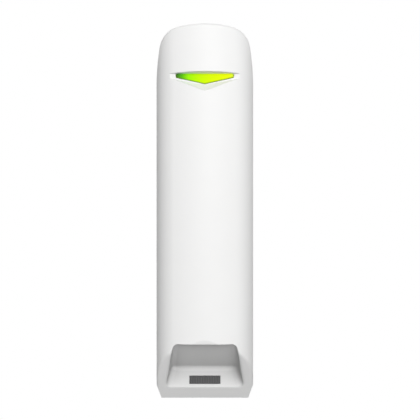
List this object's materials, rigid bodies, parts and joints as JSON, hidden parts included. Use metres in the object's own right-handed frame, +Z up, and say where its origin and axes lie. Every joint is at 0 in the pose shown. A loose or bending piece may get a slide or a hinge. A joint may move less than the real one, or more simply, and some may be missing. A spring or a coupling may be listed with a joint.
{
  "type": "curtain motion detector",
  "caption": "Slim white wall-mounted motion detector with a curtain-shaped field: arched top, chevron status light, scooped foot with a small sensor window, slide-on bracket.",
  "frame": {"origin": "Middle of the bracket's two wall screws, in the plane of the wall", "axes": "+X to the right of someone who faces the detector, +Y into the wall, +Z up"},
  "size_m": [0.0354, 0.044, 0.134],
  "materials": {
    "shell": "matte",
    "indicator": "gloss",
    "light_guide": "gloss",
    "led": "gloss",
    "window": "satin",
    "foam": "matte",
    "black_plastic": "matte",
    "can": "polished",
    "sensor_filter": "gloss",
    "pcb": "satin",
    "socket": "matte",
    "ribbon": "satin",
    "shield": "brushed",
    "ceramic": "matte",
    "chip": "matte",
    "tin": "satin",
    "battery": "gloss",
    "cradle": "matte",
    "spring_steel": "satin",
    "button": "matte",
    "plunger": "satin",
    "screw": "satin"
  },
  "bodies": {
    "bracket": {"mounting_bracket": "shell"},
    "detector": {"front_housing": "shell", "rear_cover": "shell", "indicator_lens": "indicator", "light_guide": "light_guide", "indicator_leds": "led", "sensor_window": "window", "optics_gasket": "foam", "optics_shroud": "black_plastic", "motion_sensors": "can", "sensor_filters": "sensor_filter", "sensor_board": "pcb", "sensor_socket": "socket", "board_socket": "socket", "sensor_ribbon": "ribbon", "main_board": "pcb", "radio_shield": "shield", "small_parts": "ceramic", "antennas": "tin", "radio_chip": "chip", "controller": "chip", "crystal": "can", "battery_cell": "battery", "battery_cradle": "cradle", "negative_contact": "spring_steel", "positive_contact": "spring_steel", "tamper_switch": "chip", "power_switch": "chip", "tamper_spring": "spring_steel", "cover_screws": "screw", "board_screws": "screw", "optics_screws": "screw"},
    "power_key": {"power_button": "button"},
    "tamper_key": {"tamper_plunger": "plunger"}
  },
  "joints": [
    {"name": "detector_slide", "type": "slide", "parent": "bracket", "child": "detector", "axis": [0, 0, 1], "range_m": [0, 0.006]},
    {"name": "power_button_press", "type": "slide", "parent": "detector", "child": "power_key", "axis": [0, -1, 0], "range_m": [0, 0.0005], "stiffness_N_per_m": 300, "springref_m": -0.001},
    {"name": "tamper_press", "type": "slide", "parent": "detector", "child": "tamper_key", "axis": [0, -1, 0], "range_m": [0, 0.0005], "stiffness_N_per_m": 200, "springref_m": -0.002, "deforming": ["tamper_spring"]}
  ]
}
